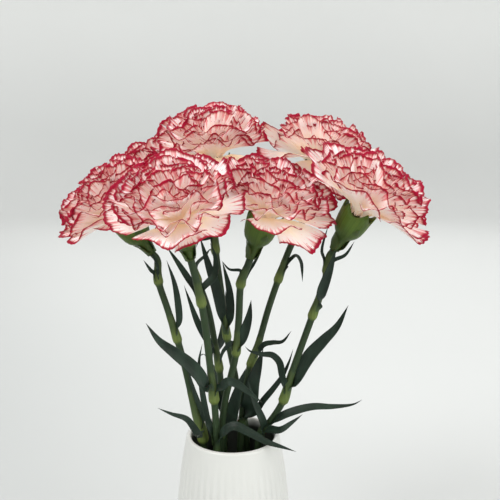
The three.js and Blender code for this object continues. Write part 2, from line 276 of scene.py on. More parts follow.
MM = 0.001
VASE_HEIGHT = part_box("vase")[1][2]
BELLY_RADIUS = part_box("vase")[1][0]
BELLY_HEIGHT = 80 * MM
VASE_WALL = 3.2 * MM
MOUTH_RADIUS = 26 * MM
SHOULDER_RADIUS = 33.25 * MM
SHOULDER_DROP = 26 * MM
FOOT_RADIUS = 30 * MM
FOOT_BEVEL = 1.5 * MM
VASE_FLOOR = 5 * MM
VASE_POLE = 0.3 * MM
RIBS = 46
RIB_DEPTH = 0.6 * MM
RIB_SHARPNESS = 1.2
RIB_COLUMNS = 8
RIB_TOP = VASE_HEIGHT - 8 * MM
RIB_TOP_FADE = 24 * MM
RIB_BOTTOM = 4 * MM
RIB_BOTTOM_FADE = 18 * MM
SHADE_TOP = VASE_HEIGHT - 1.5 * MM
SHADE_FADE = 4 * MM
GLAZE_SHADE = (0.58, 0.585, 0.555, 1)
GLAZE_LIGHT = (0.64, 0.645, 0.62, 1)
# Painted shade: the near-black colour of the vase's inside below the lip.
VASE_INSIDE_PAINTED_SHADE = (0.035, 0.04, 0.032, 1)


def lengths_along(line):
    """How far along a line each of its points is: the running sum of its chords."""
    return np.concatenate([[0], np.cumsum(np.linalg.norm(np.diff(line, axis=0), axis=1))])


def spline(points, count):
    """
    Centripetal Catmull-Rom line: knots lie the square root of a chord apart, each span is the cubic
    with the weighted mean slope at its ends, and the result is resampled at even lengths.
    """
    knots = np.asarray(points, dtype=float)
    knots = np.vstack([2 * knots[0] - knots[1], knots, 2 * knots[-1] - knots[-2]])
    gap = np.sqrt(np.linalg.norm(np.diff(knots, axis=0), axis=1))[:, None]
    chord = np.diff(knots, axis=0) / gap
    slope = (chord[:-1] * gap[1:] + chord[1:] * gap[:-1]) / (gap[:-1] + gap[1:])
    t = np.linspace(0, 1, 24, endpoint=False)[:, None]
    start, end = knots[1:-2, None], knots[2:-1, None]
    leaving, arriving = slope[:-1, None] * gap[1:-1, None], slope[1:, None] * gap[1:-1, None]
    dense = (2 * t**3 - 3 * t**2 + 1) * start + (t**3 - 2 * t**2 + t) * leaving
    dense = dense + (3 * t**2 - 2 * t**3) * end + (t**3 - t**2) * arriving
    dense = np.vstack([dense.reshape(-1, knots.shape[1]), knots[-2]])
    reach = lengths_along(dense)
    even = np.linspace(0, reach[-1], count)
    return np.stack([np.interp(even, reach, column) for column in dense.T], axis=-1)


def wall_line(inset, bottom, count):
    """The wall's line from the foot over the belly and the shoulder to the lip, moved in by the inset."""
    foot = [FOOT_RADIUS - inset, bottom]
    belly = [BELLY_RADIUS - inset, BELLY_HEIGHT]
    shoulder = [SHOULDER_RADIUS - inset, VASE_HEIGHT - SHOULDER_DROP]
    lip = [MOUTH_RADIUS + VASE_WALL - inset, VASE_HEIGHT - VASE_WALL / 2]
    return spline([foot, belly, shoulder, lip], count)


def ribbed_wall():
    """
    The wall's profile turned about Z. Outside, its radius loses the rib depth where the cosine of the
    ribs' turn is lowest, faded in below the lip and out above the foot. Inside, the tint rises to 1
    below the lip, where the glaze lies in shade.
    """
    outside = wall_line(0, FOOT_BEVEL, 70)
    inside = wall_line(VASE_WALL, VASE_FLOOR, 36)[::-1]
    bend = np.linspace(0, math.pi, 9)[1:-1, None]
    lip_middle = np.array([[MOUTH_RADIUS + VASE_WALL / 2, VASE_HEIGHT - VASE_WALL / 2]])
    lip = lip_middle + VASE_WALL / 2 * np.hstack([np.cos(bend), np.sin(bend)])
    foot = np.array([[VASE_POLE, 0], [FOOT_RADIUS * 0.6, 0], [FOOT_RADIUS - FOOT_BEVEL, 0]])
    floor = np.array([[FOOT_RADIUS * 0.6, VASE_FLOOR], [VASE_POLE, VASE_FLOOR]])
    profile = np.vstack([foot, outside, lip, inside, floor])
    first_inner = len(foot) + len(outside)
    height = profile[:, 1]
    fade = np.clip((RIB_TOP - height) / RIB_TOP_FADE, 0, 1)
    fade = fade * np.clip((height - RIB_BOTTOM) / RIB_BOTTOM_FADE, 0, 1)
    fade[: len(foot)] = 0
    fade[first_inner:] = 0
    turn = np.linspace(0, 2 * math.pi, RIBS * RIB_COLUMNS, endpoint=False)
    groove = 1 - np.abs(np.cos(RIBS / 2 * turn)) ** RIB_SHARPNESS
    points, uv, tint = turned(profile, RIBS * RIB_COLUMNS, -RIB_DEPTH * fade[:, None] * groove)
    # This tint marks the painted shade inside the vase, rising below the lip.
    inside_painted_shade = np.clip((SHADE_TOP - height) / SHADE_FADE, 0, 1)
    inside_painted_shade[:first_inner] = 0
    return points, uv, tint + inside_painted_shade[:, None]


glaze = Paint("satin_glaze", Roughness=0.4, Coat_Weight=0.2, Coat_Roughness=0.3)
glaze_cloud = glaze.noise(glaze.object_place(), (25, 25, 25), 4)
glaze_white = glaze.mix(glaze_cloud, GLAZE_SHADE, GLAZE_LIGHT)
# Below the lip the inside is painted dark: painted shade, not the glaze's own colour.
glaze.feed("Base Color", glaze.mix(glaze.tint(), glaze_white, VASE_INSIDE_PAINTED_SHADE))
glaze.bump(glaze.noise(glaze.object_place(), (260, 260, 180), 3), 0.12, 0.6 * MM)


def finish_piece(piece, paint, node):
    piece.data.materials.append(paint.material)
    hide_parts(node)
    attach(piece, "root")


finish_piece(grid_object("ribbed_vase", [ribbed_wall()]), glaze, "vase")

# --- Plan of the bouquet ------------------------------------------------------------------------
# Seven fresh cut carnations, arranged by hand. They stand loose in the vase, with their stems on its
# floor and against its mouth, and their heads fan out over the rim.

# In millimetres, with heights above the rim. "mouth" is the middle of the calyx mouth, and "axis" the
# way the flower faces. "rim" and "floor" are where the stem passes the vase's mouth and where it stands,
# as shares of the room there. "joints" are (height, swell, reach of the sheath), and "leaves" are
# (height on the stem, width, the way the upper face looks, route).
CARNATIONS = [
    {
        "mouth": [-63.5, -2, 136], "axis": [-0.56, -0.17, 0.81],
        "rim": [-0.8, -0.14], "floor": [-0.78, -0.32],
        "route": [[-23, -3, 15], [-30, -2, 47], [-34, -1, 62], [-40, 1, 81], [-45.5, 4, 98]],
        "joints": [(-3, 0.65, 30), (61, 0.32, 13), (96, 0.36, 10)],
        "leaves": [
            (100, 2.2, [0.3, -1, 0], [[-45, -1, 107], [-48, -2, 115]]),
            (64, 5, [-0.4, -1, 0], [[-32, -3.5, 74], [-32.4, -3.5, 84], [-34.5, -3.5, 97], [-39, -4, 111]]),
            (4, 4.5, [-0.6, -1, 0], [[-18, -5.5, 14], [-22, -6, 26], [-24.8, -7, 36], [-27.2, -7, 46]]),
            (-2, 5, [-0.2, -1, 0.5], [[-20, -21.5, 9], [-26.5, -25, 20], [-35, -27, 24], [-43, -28, 28]]),
        ],
    },
    {
        "mouth": [-26.2, -51, 141.2], "axis": [-0.16, -0.5, 0.86],
        "rim": [-0.42, -0.43], "floor": [-0.55, -0.75],
        "route": [[-10.7, -13, 24], [-12.7, -17, 47], [-14.5, -21.5, 69], [-17, -27, 91]],
        "joints": [(27, 0.5, 17), (90, 0.34, 12)],
        "leaves": [
            (95, 4, [0.2, -1, 0], [[-24, -25.5, 104], [-31, -22.5, 114], [-37, -20, 122]]),
            (95, 4.5, [-0.3, -1, 0], [[-9.5, -24, 106], [-9, -22, 116], [-12, -20, 124]]),
            (34, 8.5, [0.2, -1, 0.2], [
                [-15.6, -20, 36.5], [-18.4, -20.5, 44.3], [-24.5, -21.5, 52], [-33.3, -23, 60],
                [-42, -24, 67.6], [-49.2, -24.5, 78],
            ]),
            (31, 5.5, [0, -1, 0.4], [
                [-5.5, -19, 38], [-2.5, -21, 41.5], [3, -22, 40.5], [10, -24, 36], [18.5, -26, 30],
            ]),
            (0, 4.4, [-0.4, -1, 0], [[-15.5, -10, 16], [-18.5, -9.5, 34], [-20, -9, 49], [-18, -9, 61]]),
            (-4, 6, [0, -1, 1], [
                [-5, -16, 8], [1, -18, 12.5], [10, -20, 9.5], [20, -23, 5], [31, -25, 2], [38, -26, 0],
            ]),
        ],
    },
    {
        "mouth": [-12, 14, 170.5], "axis": [-0.05, -0.18, 0.98],
        "rim": [0.31, 0.73], "floor": [0.62, 0.58],
        "route": [
            [4.2, 17, 15], [-1.5, 17.8, 45], [-4, 18, 57], [-7.7, 18, 88], [-10.9, 18.4, 114],
            [-11.4, 19, 128],
        ],
        "joints": [(57, 0.34, 14), (113, 0.3, 10)],
        "leaves": [
            (117, 2.4, [0, -1, 0.6], [[-17, 14, 121], [-21, 12, 120], [-22.5, 11, 116]]),
            (60, 7, [0.3, -1, 0], [[-7.5, 14.5, 74], [-10, 13, 88], [-15.5, 10, 107], [-20, 7.5, 124]]),
            (60, 6, [-0.4, -1, 0], [[-1.6, 15, 73], [-2, 14.5, 88], [-6.5, 14, 107]]),
        ],
    },
    {
        "mouth": [19, -20, 139], "axis": [0.3, -0.25, 0.92],
        "rim": [-0.31, -0.02], "floor": [-0.36, -0.1],
        "route": [[-4.5, -1.5, 23], [-1.4, -3, 37], [1.9, -5, 52], [4, -7.5, 76], [5.5, -9, 99]],
        "joints": [(54, 0.32, 12), (97, 0.4, 9)],
        "leaves": [
            (102, 2.4, [-0.3, -1, 0], [[12.5, -8, 109], [17.5, -7, 117]]),
            (57, 6.5, [-0.3, -1, 0], [[6.8, -8.5, 66], [10, -9, 77], [11.4, -9.5, 88]]),
            (57, 3, [0.2, -1, 0.3], [[-5.5, -8, 56], [-7.5, -9, 48]]),
            (102, 2, [0.3, -1, 0], [[-1.5, -11, 107], [-6, -10, 112]]),
        ],
    },
    {
        "mouth": [53.5, 36, 163.5], "axis": [0.25, 0.26, 0.93],
        "rim": [0.22, 0.38], "floor": [-0.2, 0.38],
        "route": [
            [7, 11, 24], [10.5, 14, 38], [15.8, 17.5, 52], [22.5, 21, 75], [29, 24, 94],
            [35.5, 25.5, 112],
        ],
        "joints": [(40, 0.36, 16), (93, 0.34, 11)],
        "leaves": [
            (98, 3.4, [0, -0.5, 1], [
                [33.5, 23.5, 102], [37, 23, 107], [40, 23, 109], [43, 23, 105], [44.3, 23, 92],
            ]),
            (45, 3.6, [0, -1, 0.5], [[20, 11, 54.5], [25, 9.5, 56], [31, 8.5, 57], [36.5, 8, 64]]),
            (5, 10.5, [-0.2, -1, 0], [[10.5, 4, 18], [12.5, 4.5, 31], [16, 7, 42], [19, 9, 52]]),
        ],
    },
    {
        "mouth": [72.5, -19.5, 142], "axis": [0.48, -0.23, 0.85],
        "rim": [0.74, 0.09], "floor": [0.55, 0.16],
        "route": [
            [23, 1, 7], [31, -1, 21], [35.9, -3, 39], [40.5, -5, 54], [48.3, -8.5, 79],
            [55, -11, 101],
        ],
        "joints": [(22, 0.5, 18), (78, 0.34, 12), (106, 0.34, 8)],
        "leaves": [
            (109, 2, [0.4, -1, 0], [[52.5, -12, 118], [56, -12, 133]]),
            (108, 2.4, [-0.4, -1, 0], [[66, -14, 116], [71, -15, 124]]),
            (84, 7, [0.3, -1, 0], [[52.5, -14, 94], [56.5, -17.5, 108], [60, -19, 120]]),
            (28, 5, [-0.6, -1, 0.5], [
                [30.5, -5, 40], [28.8, -4.8, 48], [24.5, -4.5, 52.3], [18, -4.5, 53], [10.7, -4.5, 55],
                [7.6, -4.5, 58],
            ]),
            (28, 8.5, [-0.4, -1, 0.3], [
                [38.6, -3.5, 33], [42.3, -3.5, 43], [47.5, -4, 52.3], [55.2, -5, 61.5], [63.2, -6, 70.8],
                [69.6, -6.5, 84],
            ]),
            (2, 5.5, [0, -1, 1], [
                [31, -7, 14.5], [42, -9, 19.5], [50, -10, 21.5], [61, -10, 21.5], [73.5, -10, 23],
                [79, -10, 26],
            ]),
            (-2, 5, [-0.2, -1, 0.7], [[29.5, -12, 7.5], [36, -13, 12.5], [42.5, -13.5, 18]]),
        ],
    },
    {
        "mouth": [-45, 54, 148], "axis": [-0.35, 0.37, 0.86],
        "rim": [-0.25, 0.7], "floor": [-0.52, 0.44],
        "route": [[-7.5, 19, 15], [-9.3, 23, 34], [-12, 27, 48], [-17, 33, 72], [-26, 39, 96]],
        "joints": [(34, 0.32, 13), (90, 0.32, 12)],
        "leaves": [
            (40, 5, [0.2, -1, 0], [[-16, 18, 54], [-22, 12, 68], [-26.5, 9, 82], [-30, 8, 93]]),
            (40, 6, [0, 1, 0.3], [[-7, 36, 54], [-5, 44, 68], [-6, 50, 80]]),
            (95, 3, [0, 1, 0.6], [[-19, 47, 105], [-16, 53, 108], [-15, 57, 103]]),
            (0, 6, [-0.2, 1, 0.6], [[-11, 30, 16], [-16, 42, 30], [-21, 53, 34], [-25, 61, 30]]),
        ],
    },
]

# --- Stems --------------------------------------------------------------------------------------
# Fresh green stems about 4 mm thick, cut square on the vase's floor. Each joint swells abruptly and
# narrows again over a pale sheath, the fused feet of the pair of leaves that grows there.

STEM_RADIUS = 2.1 * MM
STEM_GAP = 0.35 * MM
STEM_ROOM = MOUTH_RADIUS - STEM_RADIUS - STEM_GAP
FLOOR_ROOM = FOOT_RADIUS - VASE_WALL - STEM_RADIUS - STEM_GAP
STEM_ROWS = 240
STEM_COLUMNS = 16
NECK_LENGTH = 5 * MM
CALYX_LENGTH = 27 * MM
JOINT_RISE = 2.5
SHEATH_LIP = 0.08
STEM_DEEP = (0.010, 0.024, 0.008, 1)
STEM_FRESH = (0.030, 0.055, 0.020, 1)
STEM_BLOOM = (0.055, 0.085, 0.042, 1)
SHEATH_DEEP = (0.07, 0.11, 0.02, 1)
SHEATH_PALE = (0.18, 0.23, 0.06, 1)


def above_rim(point):
    """A point in millimetres from the middle of the rim, in metres from the middle of the foot."""
    return np.array([0, 0, VASE_HEIGHT]) + np.array(point, dtype=float) * MM


def unit(vector):
    vector = np.asarray(vector, dtype=float)
    return vector / np.linalg.norm(vector, axis=-1, keepdims=True)


def stem_line(carnation):
    """A spline from the floor through the vase's mouth and the route, straight into the calyx's foot."""
    axis = unit(carnation["axis"])
    top = above_rim(carnation["mouth"]) - axis * CALYX_LENGTH
    floor_x, floor_y = carnation["floor"]
    rim_x, rim_y = carnation["rim"]
    foot = np.array([floor_x * FLOOR_ROOM, floor_y * FLOOR_ROOM, VASE_FLOOR + STEM_RADIUS / 2])
    gate = np.array([rim_x * STEM_ROOM, rim_y * STEM_ROOM, VASE_HEIGHT])
    halfway = foot + (gate - foot) * 0.55
    route = [above_rim(point) for point in carnation["route"]]
    return spline([foot, halfway, gate, *route, top - axis * NECK_LENGTH, top], STEM_ROWS)


def frame_along(line, face):
    """The tangent of a line, the face direction squared up to it, and the side across both."""
    tangent = unit(np.gradient(line, axis=0))
    face = np.broadcast_to(np.asarray(face, dtype=float), line.shape)
    normal = unit(face - np.sum(face * tangent, axis=1, keepdims=True) * tangent)
    return tangent, normal, np.cross(normal, tangent)


def ease(value):
    """Rises from 0 to 1 with the value: three times its square less twice its cube."""
    value = np.clip(value, 0, 1)
    return value * value * (3 - 2 * value)


def jointed_stem(line, joints):
    """
    A circle carried along the stem's line. The radius swells over the joint's rise just below it and
    sinks back over the joint's own reach above it, with a small lip where the sheath ends. The tint is
    1 on the pale part of the sheath.
    """
    along = lengths_along(line)
    swell, sheath = np.zeros(len(line)), np.zeros(len(line))
    for height, extra, reach in joints:
        past = (along - np.interp(VASE_HEIGHT + height * MM, line[:, 2], along)) / MM
        rise = ease((past + JOINT_RISE) / JOINT_RISE)
        sink = extra * (1 - ease(past / reach)) + SHEATH_LIP * (1 - ease((past - reach - 2) / 1.5))
        swell = np.maximum(swell, rise * sink)
        pale = (1 - 0.75 * ease(past / reach * 1.4)) * (1 - ease((past - reach - 1) / 3))
        sheath = np.maximum(sheath, ease((past + JOINT_RISE) / 2) * pale)
    tangent, normal, side = frame_along(line, [0, -1, 0])
    turn = np.linspace(0, 2 * math.pi, STEM_COLUMNS, endpoint=False)[:, None]
    radius = (STEM_RADIUS * (1 + swell))[:, None, None]
    points = line[:, None] + radius * (np.cos(turn) * side[:, None] + np.sin(turn) * normal[:, None])
    uv = np.zeros((len(line), STEM_COLUMNS, 2))
    return points, uv, np.repeat(sheath[:, None], STEM_COLUMNS, axis=1)


stem_skin = Paint("stem_skin", Specular_IOR_Level=0.25, Subsurface_Weight=0.08, Subsurface_Scale=1 * MM)
stem_fibre = stem_skin.noise(stem_skin.object_place(), (900, 900, 45), 3)
stem_cloud = stem_skin.noise(stem_skin.object_place(), (70, 70, 40), 3)
stem_green = stem_skin.mix(stem_cloud, STEM_DEEP, STEM_FRESH)
stem_green = stem_skin.mix(stem_fibre * 0.3, stem_green, STEM_BLOOM)
stem_pale = stem_skin.mix(stem_fibre, SHEATH_DEEP, SHEATH_PALE)
stem_sheath = stem_skin.tint() * (stem_cloud * 0.8 + 0.55)
stem_skin.feed("Base Color", stem_skin.mix(stem_sheath, stem_green, stem_pale))
stem_skin.feed("Roughness", stem_cloud * 0.25 + 0.38)
stem_skin.bump(stem_fibre, 0.25, 0.4 * MM)

for number, carnation in enumerate(CARNATIONS, 1):
    carnation["line"] = stem_line(carnation)
    stem = grid_object(f"green_stem_{number}", [jointed_stem(carnation["line"], carnation["joints"])])
    finish_piece(stem, stem_skin, f"stem_{number}")

# --- Leaves -------------------------------------------------------------------------------------
# Narrow waxy blades with a grey bloom. Each clasps its stem at the foot, opens into a shallow channel
# and is drawn out to a point, with fine veins that run its whole length.

LEAF_COLUMNS = 11
LEAF_THICKNESS = 0.55 * MM
CLASP_RADIUS = STEM_RADIUS * 1.12
CLASP_ANGLE = 1.45
CHANNEL_ANGLE = 0.42
LOW_ON_STEM = 8
LOW_FOOT_SHARE = 0.9
FOOT_SHARE = 0.7
LEAF_DEEP = (0.004, 0.010, 0.006, 1)
LEAF_GREEN = (0.017, 0.033, 0.021, 1)
LEAF_VEIN = (0.034, 0.056, 0.038, 1)
LEAF_UNDER = (0.042, 0.066, 0.050, 1)
LEAF_FOOT = (0.06, 0.10, 0.028, 1)


def blade(line, width, face, clasp, foot_share):
    """
    A thin arc carried along the midrib: its length is the blade's width there, and its half-angle goes
    from nearly a right angle round the stem at the foot to a shallow channel, as the face turns from
    the stem to its own way. The width swells from a share of it at the foot and tapers to the tip.
    """
    share = np.linspace(0, 1, len(line))
    swell = foot_share + (1 - foot_share) * ease(share / 0.45)
    taper = 1 - np.clip((share - 0.35) / 0.65, 0, 1) ** 1.8
    half_width = width / 2 * swell * np.maximum(taper, 0.02)
    tangent, normal, side = frame_along(line, face)
    start = np.arctan2(np.dot(clasp, side[0]), np.dot(clasp, normal[0]))
    twist = (start * (1 - ease(share / 0.3)))[:, None]
    turned_normal = normal * np.cos(twist) + side * np.sin(twist)
    turned_side = side * np.cos(twist) - normal * np.sin(twist)
    tight = np.minimum(CLASP_ANGLE, half_width[0] / CLASP_RADIUS)
    angle = (tight + (CHANNEL_ANGLE - tight) * ease(share / 0.28))[:, None]
    across = np.linspace(-1, 1, LEAF_COLUMNS)
    radius = half_width[:, None] / angle
    out_side = radius * np.sin(angle * across)
    out_normal = radius * (1 - np.cos(angle * across))
    depth = LEAF_THICKNESS / 2 * (1 - 0.7 * across**4) * np.minimum(1, 0.25 + taper[:, None])
    layers = []
    for sign in (1, -1):
        lift = out_normal + sign * depth
        points = line[:, None] + out_side[..., None] * turned_side[:, None]
        points = points + lift[..., None] * turned_normal[:, None]
        layers.append(points if sign > 0 else points[:, ::-1])
    u = np.concatenate([across, across[::-1]]) * 0.5 + 0.5
    uv = np.stack(np.broadcast_arrays(u * width / MM, share[:, None]), -1)
    under = np.concatenate([np.zeros(LEAF_COLUMNS), np.ones(LEAF_COLUMNS)])
    return np.concatenate(layers, axis=1), uv, np.broadcast_to(under, (len(line), 2 * LEAF_COLUMNS))


def stem_leaf(carnation, at, width, face, route):
    """
    The midrib starts on the stem's side 3 mm below its joint, rises with the stem to 4 mm above it and
    then follows its route. Leaves low on the stem are nearly as wide at the foot as further up.
    """
    line = carnation["line"]

    def on_stem(height):
        return np.array([np.interp(VASE_HEIGHT + height * MM, line[:, 2], column) for column in line.T])

    below, above = on_stem(at - 3), on_stem(at + 4)
    away = above_rim(route[0]) - above
    away[2] = 0
    away = unit(away)
    start = [below + away * STEM_RADIUS * 1.2, above + away * STEM_RADIUS * 1.3]
    points = spline([*start, *[above_rim(point) for point in route]], 12 + 8 * len(route))
    return blade(points, width * MM, face, -away, LOW_FOOT_SHARE if at <= LOW_ON_STEM else FOOT_SHARE)


leaf_skin = Paint("leaf_skin", Specular_IOR_Level=0.2, Subsurface_Weight=0.05, Subsurface_Scale=1 * MM)
leaf_place = leaf_skin.sheet_place()
leaf_vein = leaf_skin.noise(leaf_place, (3.2, 1.2, 1), 2)
leaf_bloom = leaf_skin.noise(leaf_skin.object_place(), (110, 110, 60), 4)
leaf_green = leaf_skin.mix(leaf_skin.step(leaf_bloom, 0.35, 0.7), LEAF_DEEP, LEAF_GREEN)
leaf_green = leaf_skin.mix(leaf_vein * 0.4, leaf_green, LEAF_VEIN)
leaf_green = leaf_skin.mix(leaf_skin.tint() * 0.4, leaf_green, LEAF_UNDER)
leaf_foot = 1 - leaf_skin.step(leaf_skin.part(leaf_place, "Y"), 0.02, 0.16)
leaf_skin.feed("Base Color", leaf_skin.mix(leaf_foot * 0.7, leaf_green, LEAF_FOOT))
leaf_skin.feed("Roughness", leaf_bloom * 0.35 + 0.28)
leaf_skin.bump(leaf_vein, 0.35, 0.4 * MM)

# Slight leaves with no solid of their own: the stem they grow on, then as in the plan above.
SLIGHT_LEAVES = [
    (5, 2, 4.2, [-0.4, -1, 0.3], [
        [14, 8, 10], [19, 8, 18], [25, 7, 26], [31, 6, 35], [35, 4, 45], [37.5, 3, 54],
    ]),
    (6, -2, 5, [0.3, -1, 0.2], [[19, -3, 8], [15, -3, 18], [11.5, -2, 27], [9.5, -1, 35]]),
    (7, 2, 5, [0.3, -1, 0.2], [[-9, 14, 16], [-13, 11, 30], [-14, 9, 44], [-12, 8, 56]]),
    (1, 98, 2.6, [0.6, -1, 0], [[-49, 0, 104], [-53, -3, 111]]),
    (4, 0, 8, [-0.2, -1, 0], [[-1.5, 1, 8], [1, 0, 20], [4.5, 0, 32], [8, 1, 42]]),
]

for number, carnation in enumerate(CARNATIONS, 1):
    for letter, plan in zip("abcdefgh", carnation["leaves"]):
        leaf = grid_object(f"green_leaf_{number}{letter}", [stem_leaf(carnation, *plan)])
        finish_piece(leaf, leaf_skin, f"leaf_{number}{letter}")

for order, (number, *plan) in enumerate(SLIGHT_LEAVES, 1):
    slight = grid_object(f"slight_leaf_{order}", [stem_leaf(CARNATIONS[number - 1], *plan)])
    slight.data.materials.append(leaf_skin.material)
    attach(slight, "root")

# --- Calyces ------------------------------------------------------------------------------------
# The smooth green cup that holds the petals' feet: a tube with five pointed teeth round its mouth and
# two pairs of short scales that clasp its foot.

CALYX_RADIUS = 9.6 * MM
CALYX_COLUMNS = 60
CALYX_WALL = 0.7 * MM
CALYX_POLE = 0.2 * MM
CALYX_RIBS = 20
CALYX_RIB_SHARE = 0.012
TEETH = 5
TOOTH_LENGTH = 5 * MM
TOOTH_FLARE = 0.10
SCALE_WIDTH = 9 * MM
SCALE_TURN = 0.4
UPPER_SCALE_DROP = 18.5 * MM
CALYX_LOW_DEEP = (0.014, 0.032, 0.005, 1)
CALYX_LOW_LIGHT = (0.050, 0.085, 0.014, 1)
CALYX_HIGH_DEEP = (0.032, 0.075, 0.004, 1)
CALYX_HIGH_LIGHT = (0.095, 0.155, 0.016, 1)
CALYX_CLOUD = (0.15, 0.21, 0.05, 1)


def facing(axis):
    """
    The smallest turn that takes +Z onto an axis, as a matrix: the identity, the matrix of the cross
    product that turns Z towards the axis, and that matrix squared over 1 plus the axis's own height.
    """
    x, y, z = unit(axis)
    cross = np.array([[0, 0, x], [0, 0, y], [-x, -y, 0]])
    return np.eye(3) + cross + cross @ cross / (1 + z)


def calyx_cup():
    """
    A profile turned about its axis: up the outside, over the mouth and down inside to the cup's floor.
    Rows near the mouth are stretched into five teeth by a peaked wave of the turn and lean outwards,
    and below the mouth a faint cosine of the turn ribs the cup.
    """
    share = np.array([0, 0.14, 0.28, 0.35, 0.41, 0.48, 0.58, 0.73, 0.88, 1.0])
    radius = CALYX_RADIUS * np.array([0.25, 0.29, 0.36, 0.48, 0.64, 0.79, 0.90, 0.97, 1.0, 1.02])
    outside = np.stack([radius, (share - 1) * CALYX_LENGTH], -1)
    inside = outside[:3:-1] - [CALYX_WALL, 0]
    foot, floor = [[CALYX_POLE, -CALYX_LENGTH]], [[CALYX_POLE, inside[-1, 1]]]
    profile = np.vstack([foot, outside, inside, floor])
    turn = np.linspace(0, 2 * math.pi, CALYX_COLUMNS, endpoint=False)
    points, _, tint = turned(profile, CALYX_COLUMNS)
    height = profile[:, 1:] / CALYX_LENGTH
    tooth = (1 - np.abs(np.sin(TEETH / 2 * turn))) ** 1.1
    near_mouth = np.clip((height + 0.2) / 0.2, 0, 1) ** 1.5
    points[..., 2] += near_mouth * (tooth - 0.35) * TOOTH_LENGTH
    ribs = CALYX_RIB_SHARE * np.cos(CALYX_RIBS * turn) * (height < 0)
    points[..., :2] *= (1 + TOOTH_FLARE * near_mouth * tooth - ribs)[..., None]
    return points, np.stack(np.broadcast_arrays(turn * 3, height + 1), -1), tint


def calyx_scales():
    """
    Four short blades in two crossed pairs. The lower pair stands on the narrow foot, and the upper pair
    clasps the bottom of the cup; each follows a route of shares of the cup's radius and its own length.
    """
    low_steps = [(0.30, 0), (0.36, 0.35), (0.46, 0.75), (0.66, 1.1)]
    high_steps = [(0.36, 0), (0.56, 0.3), (0.88, 0.66), (1.03, 1.05)]
    for turn, drop, length, steps in (
        (SCALE_TURN, CALYX_LENGTH, 11 * MM, low_steps),
        (SCALE_TURN + math.pi, CALYX_LENGTH, 10 * MM, low_steps),
        (SCALE_TURN + math.pi / 2, UPPER_SCALE_DROP, 12 * MM, high_steps),
        (SCALE_TURN + math.pi * 1.5, UPPER_SCALE_DROP, 11 * MM, high_steps),
    ):
        out = np.array([math.cos(turn), math.sin(turn), 0])
        route = [out * CALYX_RADIUS * wide + np.array([0, 0, length * high - drop]) for wide, high in steps]
        points, uv, tint = blade(spline(route, 14), SCALE_WIDTH, -out, -out, 0.8)
        yield points, uv * [1, 0], tint


calyx_skin = Paint("calyx_skin", Specular_IOR_Level=0.25, Subsurface_Weight=0.12, Subsurface_Scale=2 * MM)
calyx_place = calyx_skin.sheet_place()
calyx_vein = calyx_skin.noise(calyx_place, (4, 0.8, 1), 2)
calyx_cloud = calyx_skin.noise(calyx_skin.object_place(), (120, 120, 120), 3)
calyx_low = calyx_skin.mix(calyx_vein, CALYX_LOW_DEEP, CALYX_LOW_LIGHT)
calyx_high = calyx_skin.mix(calyx_vein, CALYX_HIGH_DEEP, CALYX_HIGH_LIGHT)
calyx_upper = calyx_skin.step(calyx_skin.part(calyx_place, "Y"), 0.3, 0.75)
calyx_green = calyx_skin.mix(calyx_upper, calyx_low, calyx_high)
calyx_skin.feed("Base Color", calyx_skin.mix(calyx_cloud * 0.25, calyx_green, CALYX_CLOUD))
calyx_skin.feed("Roughness", calyx_cloud * 0.3 + 0.3)
calyx_skin.bump(calyx_vein, 0.2, 0.4 * MM)


def in_place(grid, carnation):
    """Turns a grid made about +Z to face the flower's way and moves it to its calyx mouth."""
    points, uv, tint = grid
    return points @ facing(carnation["axis"]).T + above_rim(carnation["mouth"]), uv, tint


for number, carnation in enumerate(CARNATIONS, 1):
    grids = [in_place(grid, carnation) for grid in (calyx_cup(), *calyx_scales())]
    calyx = grid_object(f"green_calyx_{number}", grids)
    finish_piece(calyx, calyx_skin, f"calyx_{number}")

# --- Petals -------------------------------------------------------------------------------------
# Each head is nearly fifty thin fans with a long foot in the calyx and a pinked, waved edge. They are
# cream, peach towards the heart and crimson along the edge, in six whorls from hanging guards to
# upright heart petals.

PETAL_ROWS = np.array([0, 0.12, 0.25, 0.38, 0.5, 0.61, 0.71, 0.8, 0.875, 0.935, 0.975, 1.0])
PETAL_COLUMNS = 37
PETAL_THICKNESS = 0.3 * MM
PETAL_SINK = 3 * MM
PINK_START = 0.92
PINK_DEPTH = 0.026
LOBE_DEPTH = 0.035
LINE_REACH = 1.15
LINE_STEPS = 47

# Each whorl: how many petals, their length in millimetres, the lean of their tips and the half-angle of
# the fan in degrees, how far from the middle they start and how high their waves are in millimetres,
# the radians of wave in half a fan, how many degrees they may stray from the whorl's lean, and the
# share of their length by which the crimson edge is shifted outwards.
GUARD_WHORL = (8, 35.5, 75, 38, 5.0, 2.2, 5.5, 11, -0.022)
COLLAR_WHORL = (10, 36.5, 59, 36, 4.6, 2.8, 7.5, 9, -0.008)
INNER_WHORLS = [
    (9, 37, 46, 39, 3.8, 2.6, 7.5, 9, 0.0),
    (9, 36, 32, 38, 2.8, 2.7, 8, 10, 0.002),
    (8, 34.5, 16, 38, 1.5, 2.7, 8.5, 10, 0.002),
    (5, 33, 5, 32, 0.6, 2.4, 7, 7, 0.002),
]


